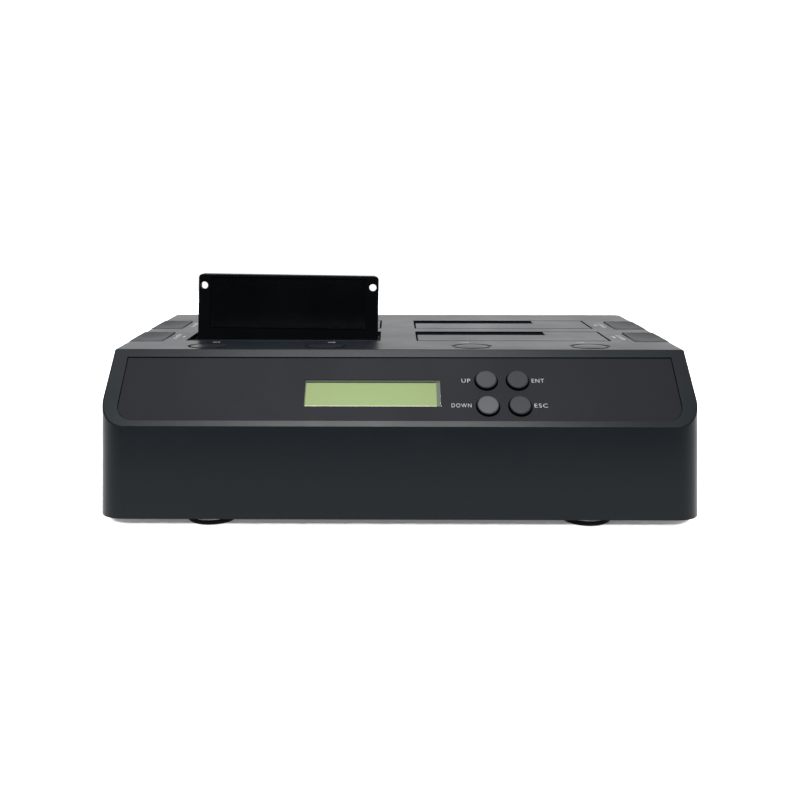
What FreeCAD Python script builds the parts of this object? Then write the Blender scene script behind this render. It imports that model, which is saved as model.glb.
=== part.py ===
import FreeCAD, Part
import math
import os

# Four-bay desktop drive duplicator.  Millimetres, +Z up, +X to the right seen
# from the front, -Y towards the user.  Origin: centre of the footprint, on the
# plane the feet stand on.

V = FreeCAD.Vector

# ---------------------------------------------------------------- dimensions
BODY_W = 290.0            # housing width
BODY_D = 180.0            # housing depth
Z_BOT = 7.0               # underside of the housing, on its feet
Z_TOP = 83.0              # deck
CORNER_R = 12.5           # vertical front corners of the housing
REAR_R = 4.0              # vertical rear corners
WALL = 2.5
SLOPE_WALL = 4.0          # wall behind the display panel

SLOPE_TOP_Y = -56.8       # upper edge of the sloped front, on the deck
SLOPE_LOW_Z = 51.4        # lower edge of the sloped front, on the front face

PANEL_HALF_W = 137.2      # inset display panel, upper edge
PANEL_TAPER = 0.7         # each side leans in by this much down to the lower edge
PANEL_S0, PANEL_S1 = 5.2, 42.4
PANEL_LOW_R = 9.0
PANEL_GAP = 0.35
PANEL_SINK = 0.5          # panel face below the housing's sloped face
PANEL_T = 1.5

LCD_X0, LCD_X1 = -46.4, 20.5
LCD_S0, LCD_S1 = 18.5, 34.1

KEY_R = 5.3
KEY_HOLE_R = 5.95
KEY_X = (43.2, 58.8)
KEY_S = (19.0, 34.0)
KEY_TRAVEL = 0.8

BAY_W = 104.0             # drive opening in the deck
BAY_D = 35.7
BAY_X0 = {"left": -114.3, "right": 10.3}
BAY_Y0 = {"front": -26.6, "rear": 23.0}
GUIDE_WALL = 1.6
BAY_FLOOR = 27.6          # a drive's end face rests here
FLOOR_T = 1.6
SLOT_W = 72.0             # small-drive slot left open by the flap
FLAP_D = 22.7             # flap depth beside the slot
FLAP_T = 2.4
FLAP_GAP = 0.45
BAY_RIM = 0.6             # bevel round each bay opening
FLAP_AX_Y = 2.6           # hinge axis behind the opening's front edge
FLAP_AX_Z = 78.5
PIN_R = 1.0
RUN = 0.05                # radial running clearance of pins
LEAN_DEG = 57.0           # front-left flap, pushed down by the adapter

BTN_X = (-99.5, -38.1, 38.1, 99.5)
BTN_Y = -45.8
RING_A, RING_B = 10.9, 8.4
BTN_A, BTN_B = 8.85, 6.35

EJ_X = 126.7              # inner edge of an eject button, outer edge = side
EJ_Y = {"front": (-29.8, 2.8), "rear": (19.6, 52.2)}
EJ_LIP, EJ_TOP = 83.1, 83.65    # its top rises from front to rear, just proud of the deck
EJ_TRAVEL = 5.0
EJ_DISH = 0.8             # depth of the finger dish in the button's top
LEVER_X, LEVER_Z = 121.5, 23.5
LEVER_ARM = 13.5          # pivot to the button's stem
STEM_X = LEVER_X + LEVER_ARM

SATA_DX = 33.5            # connector centre from the opening's left edge
SATA_DY = 4.4             # and from its rear edge

FOOT_X, FOOT_Y = 93.3, 65.5
FOOT_R = 12.5
CASE_SCREWS = ((-125.0, -70.0), (125.0, -70.0), (-125.0, 75.0), (125.0, 75.0), (0.0, 16.0))
BOARD_Z = 14.0
BOARD_T = 1.6
BOARD_SCREWS = ((-100.0, -34.0), (0.0, -34.0), (100.0, -34.0), (-100.0, 76.0), (0.0, 76.0), (104.0, 50.0))

AD_W = 101.6              # adapter plate, 3.5-inch form factor
AD_XC = -61.83
AD_TOP = 116.2
AD_BOT = 28.7
AD_Y0 = -2.0
AD_T = 2.4
AD_HOLE_R = 2.05
AD_HOLE_PITCH = 95.25
AD_TILT = 0.84            # sits slightly askew in its bay

os.makedirs("parts", exist_ok=True)


# ---------------------------------------------------------------- helpers
def box(x0, x1, y0, y1, z0, z1):
    return Part.makeBox(x1 - x0, y1 - y0, z1 - z0, V(x0, y0, z0))


def cyl(x, y, z0, z1, r):
    return Part.makeCylinder(r, z1 - z0, V(x, y, z0), V(0, 0, 1))


def cyl_x(x0, x1, y, z, r):
    return Part.makeCylinder(r, x1 - x0, V(x0, y, z), V(1, 0, 0))


def cyl_y(x, y0, y1, z, r):
    return Part.makeCylinder(r, y1 - y0, V(x, y0, z), V(0, 1, 0))


def fuse(first, *rest):
    out = first.fuse(list(rest)) if rest else first
    return out.removeSplitter()


def cut(first, *rest):
    out = first
    for r in rest:
        out = out.cut(r)
    return out


def upright(shape):
    """Edges parallel to Z."""
    found = []
    for e in shape.Edges:
        if len(e.Vertexes) == 2:
            a, b = e.Vertexes[0].Point, e.Vertexes[1].Point
            if abs(a.x - b.x) < 1e-6 and abs(a.y - b.y) < 1e-6:
                found.append(e)
    return found


def rbox(x0, x1, y0, y1, z0, z1, r, rear=None):
    b = box(x0, x1, y0, y1, z0, z1)
    if rear is None:
        return b.makeFillet(r, upright(b))
    mid = 0.5 * (y0 + y1)
    b = b.makeFillet(r, [e for e in upright(b) if e.BoundBox.YMax < mid])
    return b.makeFillet(rear, [e for e in upright(b) if e.BoundBox.YMin > y1 - 1e-4])


def rim(x0, x1, y0, y1, z, c):
    """Bevel cutter round a rectangular opening, c wide and c deep at height z."""
    wires = []
    for d, h in ((0.0, z - c), (c + 0.2, z + 0.2)):
        p = [V(x0 - d, y0 - d, h), V(x1 + d, y0 - d, h), V(x1 + d, y1 + d, h), V(x0 - d, y1 + d, h)]
        wires.append(Part.makePolygon(p + p[:1]))
    return Part.makeLoft(wires, True, True)


def oval(cx, cy, a, b, z0, z1):
    e = Part.Ellipse(V(cx, cy, z0), a, b).toShape()
    return Part.Face(Part.Wire([e])).extrude(V(0, 0, z1 - z0))


def oval_wire(cx, cy, a, b, z):
    return Part.Wire([Part.Ellipse(V(cx, cy, z), a, b).toShape()])


def fillet_where(shape, r, test):
    edges = [e for e in shape.Edges if test(e)]
    if not edges:
        return shape
    for use in (edges,):
        try:
            out = shape.makeFillet(r, use)
            if out.isValid() and out.Volume > 0:
                return out
        except Exception:
            pass
    return shape


def at_z(z, tol=1e-4):
    return lambda e: abs(e.BoundBox.ZMin - z) < tol and abs(e.BoundBox.ZMax - z) < tol


# slope frame: x, s down the slope from the deck edge, h outwards
SLOPE_DY = -(BODY_D / 2 + SLOPE_TOP_Y)                 # to the front face (negative)
SLOPE_DZ = SLOPE_LOW_Z - Z_TOP
SLOPE_DEG = math.degrees(math.atan2(-SLOPE_DZ, -SLOPE_DY))


def slope(shape):
    s = shape.copy()
    s.rotate(V(0, 0, 0), V(1, 0, 0), SLOPE_DEG)
    s.translate(V(0, SLOPE_TOP_Y, Z_TOP))
    return s


def lbox(x0, x1, s0, s1, h0, h1):
    """Box in the slope frame, not yet placed."""
    return box(x0, x1, -s1, -s0, h0, h1)


def lcyl(x, s, h0, h1, r):
    return cyl(x, -s, h0, h1, r)


def panel_prism(half_w, s0, s1, r, h0, h1):
    low_w = half_w - PANEL_TAPER
    p = [V(-half_w, -s0, h0), V(half_w, -s0, h0), V(low_w, -s1, h0), V(-low_w, -s1, h0)]
    b = Part.Face(Part.makePolygon(p + p[:1])).extrude(V(0, 0, h1 - h0))
    low = [e for e in upright(b) if abs(e.Vertexes[0].Point.y + s1) < 1e-6]
    b = b.makeFillet(r, low)
    return b


def coil(x, y, z, pitch, turns, radius, wire_r):
    """Coil spring of half turns, each a piece of a tilted torus; neighbours share their end disc."""
    tip = math.degrees(math.atan2(pitch / 4.0, radius))
    r = math.hypot(radius, pitch / 4.0)
    parts = []
    for k in range(int(round(2 * turns))):
        side = 1 if k % 2 == 0 else -1
        disc = Part.Face(Part.Wire([Part.Circle(V(side * r, 0, 0), V(0, 1, 0), wire_r).toShape()]))
        half = disc.revolve(V(0, 0, 0), V(0, 0, 1), 180)
        half.rotate(V(0, 0, 0), V(0, 1, 0), side * tip)
        half.translate(V(x, y, z + pitch / 4.0 + k * pitch / 2.0))
        parts.append(half)
    out = parts[0].fuse(parts[1:])
    return out


def save(name, shape):
    if isinstance(shape, (list, tuple)):
        solids = []
        for s in shape:
            solids += list(s.Solids)
        shape = Part.makeCompound(solids) if len(solids) > 1 else solids[0]
    elif shape.ShapeType == "Compound" and len(shape.Solids) == 1:
        shape = shape.Solids[0]
    bad = [s for s in shape.Solids if not s.isValid() or s.Volume <= 0]
    print("%-26s solids %2d  volume %10.1f mm3 %s" % (name, len(shape.Solids), shape.Volume, "BAD" if bad else ""))
    shape.exportStep("parts/%s.step" % name)


def mirror_x(shape):
    return shape.mirror(V(0, 0, 0), V(1, 0, 0))


SIDES = ("left", "right")
ROWS = ("front", "rear")
EJ_YC = {"front": -12.1, "rear": 37.4}    # stem centres

# ---------------------------------------------------------------- top shell
HW, HD = BODY_W / 2, BODY_D / 2
outer = rbox(-HW, HW, -HD, HD, Z_BOT, Z_TOP, CORNER_R, REAR_R)
wedge = slope(box(-200, 200, -100, 60, 0, 120))
outer = outer.cut(wedge)
plain_outer = outer
outer = fillet_where(outer, 0.8, lambda e: e.BoundBox.ZMin > SLOPE_LOW_Z - 0.01 and not (
    e.BoundBox.XLength < 1e-3 and e.BoundBox.YLength < 1e-3))

inner = rbox(-HW + WALL, HW - WALL, -HD + WALL, HD - WALL, -1, Z_TOP - WALL, CORNER_R - WALL, REAR_R - WALL)
inner = inner.cut(slope(box(-200, 200, -120, 60, -SLOPE_WALL, 120)))
shell = outer.cut(inner)

adds = []
# thickened wall round the rear sockets
adds.append(box(4, 122, 84.4, HD - WALL + 0.1, 12, 50))
# screw posts, hung from the deck and the sloped wall
for x, y in CASE_SCREWS:
    adds.append(cyl(x, y, 12.5, Z_TOP - 1, 4.0 if x else 3.5).common(plain_outer))
# posts for the button board
for x in (-70.0, 0.0, 70.0):
    adds.append(cyl(x, BTN_Y, 69.0, Z_TOP - WALL + 0.1, 3.0))
# posts for the front board
for x in (-56.5, 28.5, 70.5):
    adds.append(slope(lcyl(x, 26.5, -11.4, -SLOPE_WALL + 0.1, 2.2)))
# shelf under each eject button, which guides its stem and carries its spring
for r in ROWS:
    ya, yb = EJ_Y[r]
    sh = box(124, HW - WALL + 0.1, ya + 1, yb - 1, 62, 64)
    adds += [sh, mirror_x(sh)]
shell = fuse(shell, *adds)

cuts = []
cuts.append(slope(panel_prism(PANEL_HALF_W + PANEL_GAP, PANEL_S0 - PANEL_GAP, PANEL_S1 + PANEL_GAP,
                              PANEL_LOW_R + PANEL_GAP, -(PANEL_SINK + PANEL_T), 5)))
cuts.append(slope(lbox(-49, 23, 16.5, 37.3, -8, 1)))
for x in KEY_X:
    for s in KEY_S:
        cuts.append(slope(lcyl(x, s, -8, 1, 6.6)))
for side in SIDES:
    for r in ROWS:
        x0, y0 = BAY_X0[side], BAY_Y0[r]
        cuts.append(box(x0, x0 + BAY_W, y0, y0 + BAY_D, Z_TOP - WALL - 1, Z_TOP + 5))
        cuts.append(rim(x0, x0 + BAY_W, y0, y0 + BAY_D, Z_TOP, BAY_RIM))
for x in BTN_X:
    cuts.append(oval(x, BTN_Y, RING_A + 0.1, RING_B + 0.1, Z_TOP - WALL - 1, Z_TOP + 5))
    cuts.append(oval(x, BTN_Y, RING_A + 1.3, RING_B + 1.3, 74.0, Z_TOP - WALL))
for r in ROWS:
    ya, yb = EJ_Y[r]
    c1 = box(EJ_X, HW + 5, ya, yb, 75.4, Z_TOP + 5)
    c2 = box(HW - 1.5, HW + 5, ya, yb, 65.0, Z_TOP + 5)
    c3 = box(STEM_X - 3.3, STEM_X + 3.3, EJ_YC[r] - 3.3, EJ_YC[r] + 3.3, 60, 66)
    for c in (c1, c2, c3):
        cuts += [c, mirror_x(c)]
# rear: recessed socket field, its openings, and a row of vents
cuts.append(rbox(6, 120, 14, 48, 0, 3, 2.0))
cuts[-1].rotate(V(0, 0, 0), V(1, 0, 0), 90)
cuts[-1].translate(V(0, HD, 0))
cuts.append(box(99.3, 108.7, 80, 92, 15.4, 26.8))       # power jack
cuts.append(box(53.8, 66.2, 80, 92, 15.4, 26.6))        # usb socket
cuts.append(box(28.8, 45.2, 80, 92, 15.4, 22.4))        # esata socket
cuts.append(box(72.1, 91.3, 80, 92, 29.2, 44.0))        # rocker switch
for i in range(16):
    x = -122.0 + 7.0 * i
    cuts.append(box(x - 1.2, x + 1.2, 84, 92, 20, 52))
# screw pilots
for x, y in CASE_SCREWS:
    cuts.append(cyl(x, y, 12.0, 24.0, 1.5))
for x in (-70.0, 0.0, 70.0):
    cuts.append(cyl(x, BTN_Y, 68.0, 76.0, 1.2))
for x in (-56.5, 28.5, 70.5):
    cuts.append(slope(lcyl(x, 26.5, -12.0, -6.0, 1.0)))
shell = cut(shell, *cuts)
# the bar of the deck between the left and right bays is a part of its own, with the middle screw post under it
bar = box(BAY_X0["left"] + BAY_W, BAY_X0["right"], BAY_Y0["front"], BAY_Y0["rear"] + BAY_D, 10.0, Z_TOP + 1)
save("deck_bridge", shell.common(bar))
save("top_shell", shell.cut(bar))

# ---------------------------------------------------------------- bottom cover
cover = rbox(-HW + WALL + 0.2, HW - WALL - 0.2, -HD + WALL + 0.2, HD - WALL - 0.2, Z_BOT, 9.5, CORNER_R - WALL - 0.2,
             REAR_R - WALL - 0.2)
adds = []
for x, y in CASE_SCREWS:
    adds.append(cyl(x, y, 9.4, 12.5, 6.0))
for sx in (-1, 1):
    for sy in (-1, 1):
        adds.append(cyl(sx * FOOT_X, sy * FOOT_Y, 9.4, 13.0, 4.0))
for x, y in BOARD_SCREWS:
    adds.append(cyl(x, y, 9.4, BOARD_Z, 3.0))
for r in ROWS:
    for k in (-1, 1):
        ya, yb = sorted((EJ_YC[r] + k * 2.9, EJ_YC[r] + k * 4.9))
        ear = fuse(box(118.3, 124.7, ya, yb, 9.4, LEVER_Z), cyl_y(LEVER_X, ya, yb, LEVER_Z, 3.2))
        adds += [ear, mirror_x(ear)]
cover = fuse(cover, *adds)
cuts = []
for x, y in CASE_SCREWS:
    cuts += [cyl(x, y, 6, 9.7, 3.6), cyl(x, y, 9, 13, 1.6)]
for sx in (-1, 1):
    for sy in (-1, 1):
        cuts.append(cyl(sx * FOOT_X, sy * FOOT_Y, 6, 14, 1.5))
for x, y in BOARD_SCREWS:
    cuts.append(cyl(x, y, 10.5, 15, 1.5))
for r in ROWS:
    c = cyl_y(LEVER_X, EJ_YC[r] - 6, EJ_YC[r] + 6, LEVER_Z, 1.5)
    cuts += [c, mirror_x(c)]
for i in range(15):
    x = -56.0 + 8.0 * i
    if abs(x) > 6:
        cuts.append(rbox(x - 1.25, x + 1.25, -20, 40, 6, 11, 1.2))
cover = cut(cover, *cuts)
save("bottom_cover", cover)

# ---------------------------------------------------------------- feet
prof = [V(5.0, 0, 0), V(FOOT_R - 0.9, 0, 0), V(FOOT_R, 0, 0.9), V(FOOT_R, 0, 2.0), V(FOOT_R - 0.5, 0, 2.4),
        V(10.2, 0, 2.7), V(9.6, 0, Z_BOT), V(1.6, 0, Z_BOT), V(1.6, 0, 4.4), V(5.0, 0, 4.4), V(5.0, 0, 0)]
foot = Part.Face(Part.makePolygon(prof)).revolve(V(0, 0, 0), V(0, 0, 1), 360)
feet, fscrews = [], []
for sx in (-1, 1):
    for sy in (-1, 1):
        f = foot.copy()
        f.translate(V(sx * FOOT_X, sy * FOOT_Y, 0))
        feet.append(f)
        sc = fuse(cyl(sx * FOOT_X, sy * FOOT_Y, 2.2, 4.4, 3.6), cyl(sx * FOOT_X, sy * FOOT_Y, 4.3, 13.0, 1.5))
        sc = cut(sc, box(sx * FOOT_X - 2.4, sx * FOOT_X + 2.4, sy * FOOT_Y - 0.4, sy * FOOT_Y + 0.4, 2.0, 3.2),
                 box(sx * FOOT_X - 0.4, sx * FOOT_X + 0.4, sy * FOOT_Y - 2.4, sy * FOOT_Y + 2.4, 2.0, 3.2))
        fscrews.append(sc)
save("feet", feet)
save("foot_screws", fscrews)

cs = []
for x, y in CASE_SCREWS:
    s = fuse(cyl(x, y, 7.6, 9.7, 3.0), cyl(x, y, 9.6, 23.5, 1.5))
    s = cut(s, box(x - 2.2, x + 2.2, y - 0.4, y + 0.4, 7.0, 8.7), box(x - 0.4, x + 0.4, y - 2.2, y + 2.2, 7.0, 8.7))
    cs.append(s)
save("case_screws", cs)

# ---------------------------------------------------------------- main board
pcb = box(-112, 112, -40, 84.2, BOARD_Z, BOARD_Z + BOARD_T)
pcb = cut(pcb, cyl(0, 16, 13, 17, 5.0), *[cyl(x, y, 13, 17, 1.6) for x, y in BOARD_SCREWS])
save("main_board", pcb)
bs = []
ZB = BOARD_Z + BOARD_T
for x, y in BOARD_SCREWS:
    bs.append(fuse(cyl(x, y, ZB, ZB + 1.8, 2.8), cyl(x, y, 10.6, ZB + 0.1, 1.5)))
for x in (-70.0, 0.0, 70.0):
    bs.append(fuse(cyl(x, BTN_Y, 66.0, 67.4, 2.2), cyl(x, BTN_Y, 67.3, 75.5, 1.2)))
for x in (-56.5, 28.5, 70.5):
    bs.append(slope(fuse(lcyl(x, 26.5, -14.2, -13.0, 2.0), lcyl(x, 26.5, -13.1, -6.5, 1.0))))
save("board_screws", bs)
comp = []
for x, y, w, d, h in ((-70, -28, 14, 14, 1.4), (-30, 30, 20, 20, 1.8), (40, 30, 20, 20, 1.8), (70, -28, 12, 12, 1.4),
                      (-40, -30, 8, 5, 1.2), (40, -32, 8, 5, 1.2), (78, 28, 8, 8, 3.0), (-82, 30, 8, 8, 3.0)):
    comp.append(box(x - w / 2, x + w / 2, y - d / 2, y + d / 2, ZB, ZB + h))
for x, y in ((88, -30), (76, 74), (62, 64), (-60, 76), (-72, 76)):
    comp.append(fuse(cyl(x, y, ZB, ZB + 7.0, 3.0), cyl(x, y, ZB, ZB + 0.8, 3.3)))
save("board_components", comp)

# ---------------------------------------------------------------- drive connectors
con = []
for side in SIDES:
    for r in ROWS:
        xc = BAY_X0[side] + SATA_DX
        yc = BAY_Y0[r] + BAY_D - SATA_DY
        c = fuse(box(xc - 21.0, xc + 21.0, yc - 2.6, yc + 2.6, ZB, 33.5),
                 box(xc - 23.5, xc + 23.5, yc - 3.4, yc + 3.4, ZB, 22.0))
        c = cut(c, box(xc - 18.9, xc - 8.3, yc - 0.9, yc + 0.9, 27.0, 34.0),
                box(xc - 5.6, xc + 15.2, yc - 0.9, yc + 0.9, 27.0, 34.0))
        con.append(c)
save("sata_connectors", con)

# ---------------------------------------------------------------- bay guides, flaps, hinge pins, springs
pins, tsprings = [], []
for side in SIDES:
    for r in ROWS:
        x0, y0 = BAY_X0[side], BAY_Y0[r]
        x1, y1 = x0 + BAY_W, y0 + BAY_D
        g = box(x0 - GUIDE_WALL, x1 + GUIDE_WALL, y0 - GUIDE_WALL, y1 + GUIDE_WALL, BAY_FLOOR - FLOOR_T, Z_TOP - WALL)
        g = g.cut(box(x0, x1, y0, y1, BAY_FLOOR, Z_TOP))
        # stop ledge under the flap's front edge
        g = fuse(g, box(x0 + 8, x1 - 8, y0 - 0.1, y0 + 1.0, 79.2, Z_TOP - WALL))
        xc, yc = x0 + SATA_DX, y1 - SATA_DY
        g = g.cut(box(xc - 22.0, xc + 22.0, yc - 3.6, yc + 3.6, 20, 30))
        if side == "right":
            ls = box(x0 + 90.9, x1 + 3, EJ_YC[r] - 3.0, EJ_YC[r] + 3.0, 20, 31)
        else:
            ls = box(x0 - 3, x0 + 13.1, EJ_YC[r] - 3.0, EJ_YC[r] + 3.0, 20, 31)
        g = g.cut(ls)
        ay = y0 + FLAP_AX_Y
        g = g.cut(cyl_x(x0 - 3, x0 + 1, ay, FLAP_AX_Z, PIN_R)).cut(cyl_x(x1 - 1, x1 + 3, ay, FLAP_AX_Z, PIN_R))
        save("bay_guide_%s_%s" % (r, side), g)

        # flap: a plate beside the small-drive slot, with an arm that reaches the rear edge
        zt, zb = Z_TOP, Z_TOP - FLAP_T
        p = [V(x0 + FLAP_GAP, y0 + FLAP_GAP, zb), V(x1 - FLAP_GAP, y0 + FLAP_GAP, zb), V(x1 - FLAP_GAP, y1 - FLAP_GAP, zb),
             V(x0 + SLOT_W + FLAP_GAP, y1 - FLAP_GAP, zb), V(x0 + SLOT_W + FLAP_GAP, y0 + FLAP_D, zb),
             V(x0 + FLAP_GAP, y0 + FLAP_D, zb)]
        p.append(p[0])
        f = Part.Face(Part.makePolygon(p)).extrude(V(0, 0, FLAP_T))
        f = fillet_where(f, 0.5, at_z(zt))
        for a in (x0 + FLAP_GAP, x1 - FLAP_GAP - 3.2):
            f = fuse(f, box(a, a + 3.2, ay - 2.1, ay + 2.1, FLAP_AX_Z, zb + 0.5), cyl_x(a, a + 3.2, ay, FLAP_AX_Z, 2.1))
        f = f.cut(cyl_x(x0 - 1, x0 + 6, ay, FLAP_AX_Z, PIN_R + RUN)).cut(cyl_x(x1 - 6, x1 + 1, ay, FLAP_AX_Z, PIN_R + RUN))
        if (r, side) == ("front", "left"):
            f.rotate(V(0, ay, FLAP_AX_Z), V(1, 0, 0), -LEAN_DEG)
        save("flap_%s_%s" % (r, side), f)

        # short hinge pins, pressed into the guide's side walls; the spring is wound round the inner one
        inner_left = side == "right"
        la = 4.6 if inner_left else 1.0
        lb = 1.0 if inner_left else 4.6
        pins.append(cyl_x(x0 - GUIDE_WALL - la, x0 + 3.4, ay, FLAP_AX_Z, PIN_R))
        pins.append(cyl_x(x1 - 3.4, x1 + GUIDE_WALL + lb, ay, FLAP_AX_Z, PIN_R))
        sp = coil(0, 0, 0, 0.8, 4, 1.55, 0.3)
        sp.rotate(V(0, 0, 0), V(0, 1, 0), 90)
        sx = (x0 - GUIDE_WALL - 4.1) if inner_left else (x1 + GUIDE_WALL + 0.7)
        sp.translate(V(sx, ay, FLAP_AX_Z))
        tsprings.append(sp)
save("flap_pins", pins)
save("flap_springs", tsprings)

# ---------------------------------------------------------------- display panel and window
h1 = -PANEL_SINK
h0 = h1 - PANEL_T
panel = panel_prism(PANEL_HALF_W, PANEL_S0, PANEL_S1, PANEL_LOW_R, h0, h1)
panel = cut(panel, lbox(LCD_X0, LCD_X1, LCD_S0, LCD_S1, h0 - 1, h1 + 1),
            *[lcyl(x, s, h0 - 1, h1 + 1, KEY_HOLE_R) for x in KEY_X for s in KEY_S])
save("display_panel", slope(panel))

bez = cut(lbox(LCD_X0 + 0.1, LCD_X1 - 0.1, LCD_S0 + 0.1, LCD_S1 - 0.1, -1.3, -0.8),
          lbox(-45.95, 18.5, 19.6, 33.8, -3, 1))
save("lcd_bezel", slope(bez))
save("lcd_screen", slope(lbox(LCD_X0 + 0.2, LCD_X1 - 0.3, LCD_S0 + 0.2, LCD_S1 - 0.2, -2.7, -1.3)))
mod = lbox(-48.6, 22.6, 16.9, 36.9, -11.4, -2.7)
save("lcd_module", slope(mod))

fb = cut(lbox(-61, 75, 11, 42, -13.0, -11.4), *[lcyl(x, 26.5, -14, -10, 1.1) for x in (-56.5, 28.5, 70.5)])
save("front_board", slope(fb))

# ---------------------------------------------------------------- menu keys and their switches
names = {(0, 0): "key_up", (1, 0): "key_enter", (0, 1): "key_down", (1, 1): "key_escape"}
sw = []
for i, x in enumerate(KEY_X):
    for j, s in enumerate(KEY_S):
        cap = lcyl(x, s, -2.7, 1.2, KEY_R)
        cap = fillet_where(cap, 0.75, at_z(1.2))
        k = fuse(cap, lcyl(x, s, -3.8, -2.6, 6.4), lcyl(x, s, -7.0, -3.7, 1.5))
        save(names[(i, j)], slope(k))
        sw.append(slope(fuse(lbox(x - 3, x + 3, s - 3, s + 3, -11.4, -8.4), lcyl(x, s, -8.5, -7.9, 1.6))))
save("key_switches", sw)

# ---------------------------------------------------------------- bay power buttons
rings, psw = [], []
for i, x in enumerate(BTN_X):
    ring = fuse(oval(x, BTN_Y, RING_A, RING_B, Z_TOP - WALL - 0.1, Z_TOP - 0.1),
                oval(x, BTN_Y, RING_A + 1.2, RING_B + 1.2, 79.3, Z_TOP - WALL))
    ring = ring.cut(oval(x, BTN_Y, BTN_A + 0.2, BTN_B + 0.2, 78, 84))
    bev = Part.makeLoft([oval_wire(x, BTN_Y, BTN_A + 0.2, BTN_B + 0.2, 82.2), oval_wire(x, BTN_Y, RING_A - 0.2, RING_B - 0.2, 83.0)], True)
    ring = ring.cut(bev)
    rings.append(ring)
    top = oval(x, BTN_Y, BTN_A, BTN_B, 78.0, 84.0)
    top = top.common(Part.makeSphere(90.0, V(x, BTN_Y, 83.3 - 90.0)))
    b = fuse(top, oval(x, BTN_Y, BTN_A + 1.4, BTN_B + 1.4, 77.8, 79.2), cyl(x, BTN_Y, 73.5, 78.0, 2.0))
    save("power_button_%d" % (i + 1), b)
    psw.append(fuse(box(x - 3, x + 3, BTN_Y - 3, BTN_Y + 3, 69.0, 71.9), cyl(x, BTN_Y, 71.8, 72.4, 1.6)))
save("power_button_rings", rings)
save("power_switches", psw)
bb = cut(box(-112, 112, -52, -39.5, 67.4, 69.0), *[cyl(x, BTN_Y, 66, 70, 1.3) for x in (-70.0, 0.0, 70.0)])
save("button_board", bb)

# flat cables from the main board to the button board and the front board
rb1 = fuse(box(-10, 10, -46.3, -39.0, ZB, ZB + 0.6), box(-10, 10, -46.3, -45.7, ZB, 67.4))
rb1.translate(V(-35, 0, 0))
rb2 = fuse(box(34, 54, -60.3, -39.0, ZB, ZB + 0.6), box(34, 54, -60.3, -59.7, ZB, 61.3))
save("ribbon_cables", [rb1, rb2])

# ---------------------------------------------------------------- eject buttons, stems, springs, levers
lpins = []
for side in SIDES:
    for r in ROWS:
        ya, yb = EJ_Y[r]
        yc = EJ_YC[r]
        g = 0.3
        cap = box(EJ_X + g, HW, ya + g, yb - g, 71.0, EJ_TOP)
        cap = fillet_where(cap, 1.2, lambda e: abs(e.BoundBox.XMin - HW) < 1e-4 and abs(e.BoundBox.XMax - HW) < 1e-4
                           and abs(e.BoundBox.ZMin - EJ_TOP) < 1e-4)
        cap = fillet_where(cap, 0.3, lambda e: abs(e.BoundBox.ZMax - EJ_TOP) < 1e-4 and e.BoundBox.ZMin > 81.8)
        cap = cap.cut(box(EJ_X - 1, HW - 1.3, ya - 1, yb + 1, 70.0, 80.8))
        # top sloping up to the rear, with a shallow oval finger dish
        p = [V(EJ_X - 1, ya, EJ_LIP), V(EJ_X - 1, yb, EJ_TOP), V(EJ_X - 1, yb, EJ_TOP + 2), V(EJ_X - 1, ya, EJ_TOP + 2)]
        cap = cap.cut(Part.Face(Part.makePolygon(p + p[:1])).extrude(V(HW - EJ_X + 2, 0, 0)))
        dish = Part.makeSphere(1.0)
        m = FreeCAD.Matrix()
        m.scale(13.6, 25.0, 4.0)
        dish = dish.transformGeometry(m)
        dish.translate(V(0.5 * (EJ_X + HW) - 0.2, 0.5 * (ya + yb), 0.5 * (EJ_LIP + EJ_TOP) - EJ_DISH + 4.0))
        cap = cap.cut(dish)
        stem = box(STEM_X - 3, STEM_X + 3, yc - 3, yc + 3, 30.0, 81.0)
        tip = fuse(box(STEM_X - 1.5, STEM_X + 1.5, yc - 2.5, yc + 2.5, 26.9, 30.1),
                   cyl_y(STEM_X, yc - 2.5, yc + 2.5, 26.9, 1.5))
        tab = box(STEM_X - 4.2, STEM_X + 4.2, yc - 3, yc + 3, 60.0, 61.8)
        b = fuse(cap, stem, tip, tab)
        sp = coil(STEM_X, yc, 64.6, 3.1, 5, 5.6, 0.5)
        lev = fuse(box(103.2, 137.6, yc - 2.5, yc + 2.5, 22.0, 25.0), cyl_y(LEVER_X, yc - 2.5, yc + 2.5, LEVER_Z, 3.2),
                   box(103.2, 106.2, yc - 2.5, yc + 2.5, 22.0, 27.3))
        lev = lev.cut(cyl_y(LEVER_X, yc - 4, yc + 4, LEVER_Z, 1.5 + RUN))
        pin = cyl_y(LEVER_X, yc - 5.3, yc + 5.3, LEVER_Z, 1.5)
        if side == "left":
            b, lev, pin = (mirror_x(s) for s in (b, lev, pin))
            sp = coil(-STEM_X, yc, 64.6, 3.1, 5, 5.6, 0.5)
        save("eject_button_%s_%s" % (r, side), b)
        save("eject_spring_%s_%s" % (r, side), sp)
        save("eject_lever_%s_%s" % (r, side), lev)
        lpins.append(pin)
save("eject_lever_pins", lpins)

# ---------------------------------------------------------------- rear sockets
jack = box(99.5, 108.5, 73.0, 87.6, ZB, 26.6)
jack = cut(jack, cyl_y(104, 77.0, 88.0, 21.4, 2.9))
jack = fuse(jack, cyl_y(104, 76.9, 86.4, 21.4, 1.05))
save("power_jack", jack)

usb = box(54.0, 66.0, 70.0, 88.2, ZB, 26.4)
usb = cut(usb, box(54.8, 65.2, 72.5, 89.0, ZB + 0.8, 25.6))
usb = fuse(usb, box(57.0, 63.0, 72.4, 86.4, 18.6, 21.6), box(56.4, 63.6, 72.4, 86.4, 23.2, 24.4))
save("usb_socket", usb)

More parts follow.
